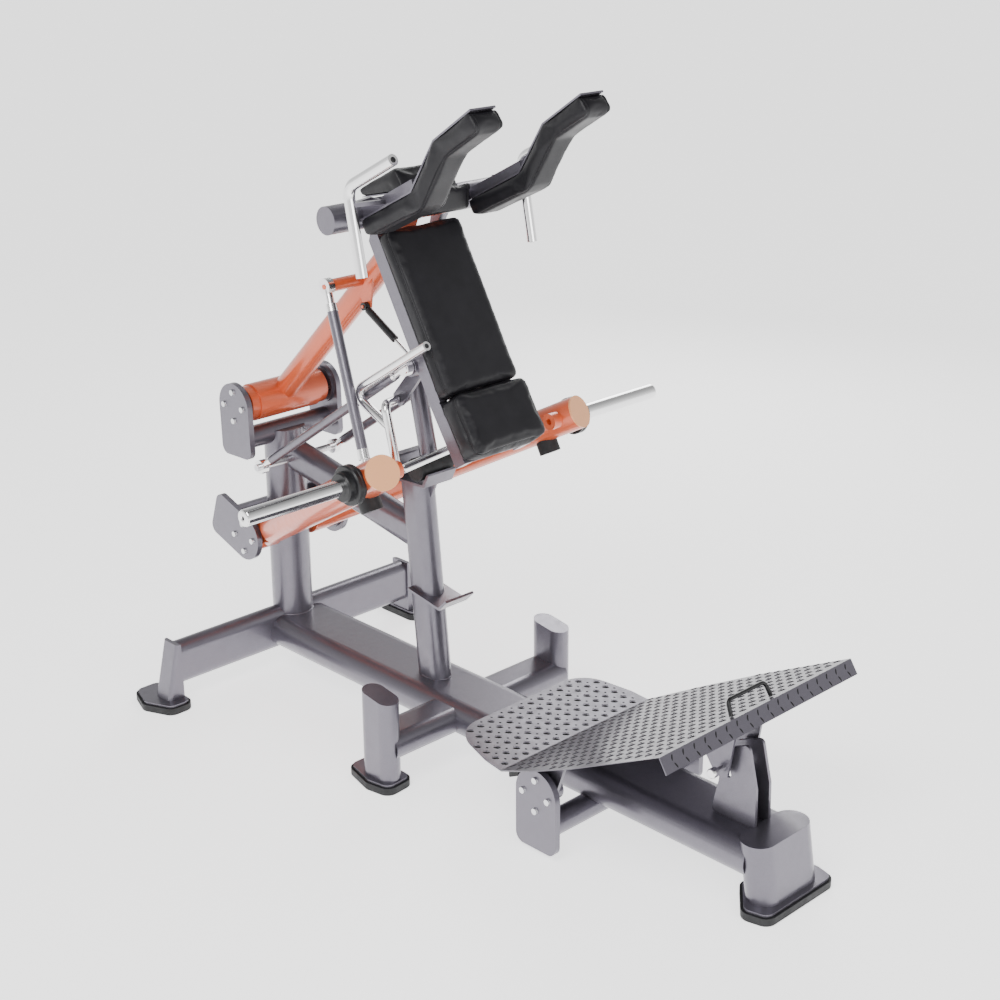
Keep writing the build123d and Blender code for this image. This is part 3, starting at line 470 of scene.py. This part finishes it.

# Chevrons in the front lip, dark slots of painted shade, each of two strokes: (distance down the lip,
# lean, shift along X, bow).
LIP_DOWN, LIP_OUT, LIP_DEPTH = Vector((0, -0.55, -0.835)), Vector((0, -0.835, 0.55)), 0.049
CHEVRONS, CHEVRON_PITCH = 18, 0.0445
STROKES = ((0.0145, 0.42, 0.003, 0.0012), (0.037, -0.42, 0.006, -0.0008))
STROKE_LENGTH, STROKE_WIDTH = 0.0185, 0.0062
low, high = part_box("footplate")
lip_top_y = low.y + LIP_DEPTH * 0.55
chevrons = bmesh.new()
for count in range(CHEVRONS):
    x = (count - (CHEVRONS - 1) / 2) * CHEVRON_PITCH
    for depth, lean, shift, bow in STROKES:
        along = (LIP_DOWN + Vector((-lean, 0, 0))).normalized()
        where = Vector((x + shift, lip_top_y, high.z)) + LIP_DOWN * depth
        blob(chevrons, where, LIP_OUT, along, STROKE_LENGTH, STROKE_WIDTH, MARK_HEIGHT, bow)
painted_shade_marks("lip_slots", chevrons)


# ---------------------------------------------------------------- turned pieces
SHARP = math.radians(32)


def turned_piece(name, start, direction, profile, body, slot, steps=64):
    """A lathed piece: profile holds (distance along, radius) from start along direction."""
    along = Vector(direction).normalized()
    side = along.orthogonal().normalized()
    other = along.cross(side)
    bm = bmesh.new()
    rings = []
    for distance, radius in profile:
        centre = Vector(start) + along * distance
        ring = []
        for step in range(steps):
            turn = 2 * math.pi * step / steps
            ring.append(bm.verts.new(centre + (side * math.cos(turn) + other * math.sin(turn)) * radius))
        rings.append(ring)
    for before, after in zip(rings, rings[1:]):
        for i in range(steps):
            j = (i + 1) % steps
            bm.faces.new((before[i], before[j], after[j], after[i]))
    bm.faces.new(rings[0][::-1])
    bm.faces.new(rings[-1])
    bmesh.ops.recalc_face_normals(bm, faces=bm.faces[:])
    piece = mesh_piece(name, bm, body, slot)
    flat = piece.modifiers.new("edges", "EDGE_SPLIT")
    flat.split_angle = SHARP
    return piece


# Profiles are (distance along, radius), in metres.
COLLAR = [
    (0.000, 0.046), (0.003, 0.050), (0.010, 0.050), (0.012, 0.048), (0.013, 0.058),
    (0.016, 0.061), (0.024, 0.061), (0.0255, 0.0595), (0.028, 0.0595), (0.0295, 0.061),
    (0.038, 0.061), (0.042, 0.057), (0.0425, 0.046), (0.046, 0.045), (0.060, 0.045),
    (0.065, 0.041), (0.065, 0.0262),
]
HORN_CAP = [
    (-0.001, 0.0235), (0.002, 0.0232), (0.0038, 0.020),
    (0.004, 0.0085), (0.0015, 0.0075), (0.0015, 0.001),
]
HORN_SOCKET = [(0.0016, 0.007), (0.0019, 0.001)]
LOCK_PIN = [
    (0.0, 0.012), (0.0015, 0.0142), (0.004, 0.0149), (0.020, 0.0149), (0.0225, 0.0142),
    (0.024, 0.012), (0.024, 0.0079), (0.174, 0.0079), (0.176, 0.0065),
]

horn_low, horn_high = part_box("weight_horns")
horn_at = (horn_low + horn_high) / 2
COLLAR_START = 0.440
horn_length = horn_high.x - COLLAR_START
HORN = [
    (0.02, 0.0245), (0.066, 0.0245), (0.066, 0.025),
    (horn_length - 0.002, 0.025), (horn_length, 0.0235),
]
# Each CAD node holds both sides, so it is hidden once, on the left side's pass.
for hand, side in ((-1, "right"), (1, "left")):
    outward = (hand, 0, 0)
    start = Vector((hand * COLLAR_START, horn_at.y, horn_at.z))
    end = Vector((hand * horn_high.x, horn_at.y, horn_at.z))
    collar = turned_piece("collar_" + side, start, outward, COLLAR, "weight_lever", "plastic_black")
    horn = turned_piece("horn_" + side, start, outward, HORN, "weight_lever", "chrome")
    cap = turned_piece("horn_cap_" + side, end, outward, HORN_CAP, "weight_lever", "chrome")
    turned_piece("horn_socket_" + side, end, outward, HORN_SOCKET, "weight_lever", "rubber_black", 6)
    if hand > 0:
        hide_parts("plate_collars")
        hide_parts("weight_horns")
        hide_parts("horn_caps")

pin_low, pin_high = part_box("footplate_pin")
pin_at = (pin_low + pin_high) / 2
pin_start = Vector((pin_low.x, pin_at.y, pin_at.z))
pin = turned_piece("lock_pin", pin_start, (1, 0, 0), LOCK_PIN, "footplate_pin", "chrome", 48)
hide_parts("footplate_pin")


def end_plug(name, where, direction, radius, body):
    """A dark moulded plug with a raised rim in the end of a handle tube."""
    profile = [
        (0.0, radius),
        (0.0012, radius * 0.97),
        (0.0018, radius * 0.75),
        (0.0010, radius * 0.5),
        (0.0010, 0.0005),
    ]
    turned_piece(name, where, direction, profile, body, "plastic_black", 32)


HANDLE_PLUG, LEVER_PLUG = 0.0085, 0.0075
HANDLE_X, LEVER_X = 0.343, -0.186
for hand, side in ((-1, "right"), (1, "left")):
    x = hand * HANDLE_X
    top, bend, low_end = place(x, -1.015, 1.951), place(x, -0.815, 1.849), place(x, -0.866, 1.598)
    end_plug("handle_plug_top_" + side, top, top - bend, HANDLE_PLUG, "carriage")
    end_plug("handle_plug_low_" + side, low_end, low_end - bend, HANDLE_PLUG, "carriage")
grip_end, grip_way = place(LEVER_X, -0.960, 1.385), Vector((0, -0.350, 0.217))
end_plug("lever_plug_grip", grip_end, grip_way, LEVER_PLUG, "release_lever")
tip_end, tip_way = place(0.080, -0.817, 0.987), Vector((0.266, -0.002, 0.027))
end_plug("lever_plug_tip", tip_end, tip_way, LEVER_PLUG, "release_lever")


# ---------------------------------------------------------------- weld beads
WELD_POINTS, WELD_RIPPLES, WELD_RIPPLE, WELD_RADIUS = 96, 48, 0.012, 0.0028


def weld(name, centre, half_x, half_y):
    """A level, rippled weld bead on an ellipse with two half axes."""
    points = []
    for step in range(WELD_POINTS):
        turn = 2 * math.pi * step / WELD_POINTS
        ripple = 1 + WELD_RIPPLE * math.sin(turn * WELD_RIPPLES)
        reach = Vector((math.cos(turn) * half_x, math.sin(turn) * half_y, 0))
        points.append(centre + reach * ripple)
    loop_piece(name, [points], WELD_RADIUS, "frame", "frame_gray")


weld("weld_post", place(0, 0, 0.1955), 0.0715, 0.0715)
weld("weld_upright", place(0, -0.7594, 0.196), 0.0415, 0.0605)

# ---------------------------------------------------------------- stage and light
FLOOR_HALF, FLOOR_DROP, FLOOR_GLOW = 60, 0.0005, 1.6
# The sky's strength near the horizon and overhead, and the heights between which it changes.
SKY_LOW, SKY_HIGH = 1.25, 0.22
SKY_FROM, SKY_TO = 0.05, 0.85
floor_bm = bmesh.new()
bmesh.ops.create_grid(floor_bm, x_segments=2, y_segments=2, size=FLOOR_HALF)
floor_mesh = bpy.data.meshes.new("floor")
floor_bm.to_mesh(floor_mesh)
floor_bm.free()
floor = bpy.data.objects.new("floor", floor_mesh)
floor.location = (0, 0, -FLOOR_DROP)
bpy.context.scene.collection.objects.link(floor)
floor_paint = Paint("floor", (0.93, 0.93, 0.93), 0.8)
floor_paint.shader.inputs["Emission Color"].default_value = (1, 1, 1, 1)
floor_paint.shader.inputs["Emission Strength"].default_value = FLOOR_GLOW
floor_paint.tint(floor_paint.noise(3), (0.925, 0.925, 0.925), (0.935, 0.935, 0.935))
floor.data.materials.append(floor_paint.material)

world = bpy.data.worlds.new("studio")
bpy.context.scene.world = world
world.use_nodes = True
world.node_tree.nodes["Background"].inputs["Color"].default_value = (1, 1, 1, 1)
sky = world.node_tree.nodes
direction = sky.new("ShaderNodeTexCoord").outputs["Generated"]
split = sky.new("ShaderNodeSeparateXYZ")
fade = sky.new("ShaderNodeMapRange")
fade.inputs["From Min"].default_value, fade.inputs["From Max"].default_value = SKY_FROM, SKY_TO
fade.inputs["To Min"].default_value, fade.inputs["To Max"].default_value = SKY_LOW, SKY_HIGH
world.node_tree.links.new(direction, split.inputs["Vector"])
world.node_tree.links.new(split.outputs["Z"], fade.inputs["Value"])
world.node_tree.links.new(fade.outputs["Result"], sky["Background"].inputs["Strength"])


def softbox(name, where, target, size, power):
    """A rectangular area light aimed at a point."""
    light = bpy.data.lights.new(name, "AREA")
    light.shape, light.size, light.size_y, light.energy = "RECTANGLE", size[0], size[1], power
    lamp = bpy.data.objects.new(name, light)
    bpy.context.scene.collection.objects.link(lamp)
    lamp.location = place(*where)
    aim = place(*target) - lamp.location
    lamp.rotation_euler = aim.to_track_quat("-Z", "Y").to_euler()


softbox("key", (-3.2, -2.2, 4.2), (0, -0.9, 0.7), (2.4, 2.4), 130)
softbox("rim", (3.6, 1.2, 3.0), (0, -0.7, 0.9), (1.6, 3.0), 90)
softbox("front", (-0.6, -5.6, 2.6), (0, -1.2, 0.5), (3.0, 1.6), 60)
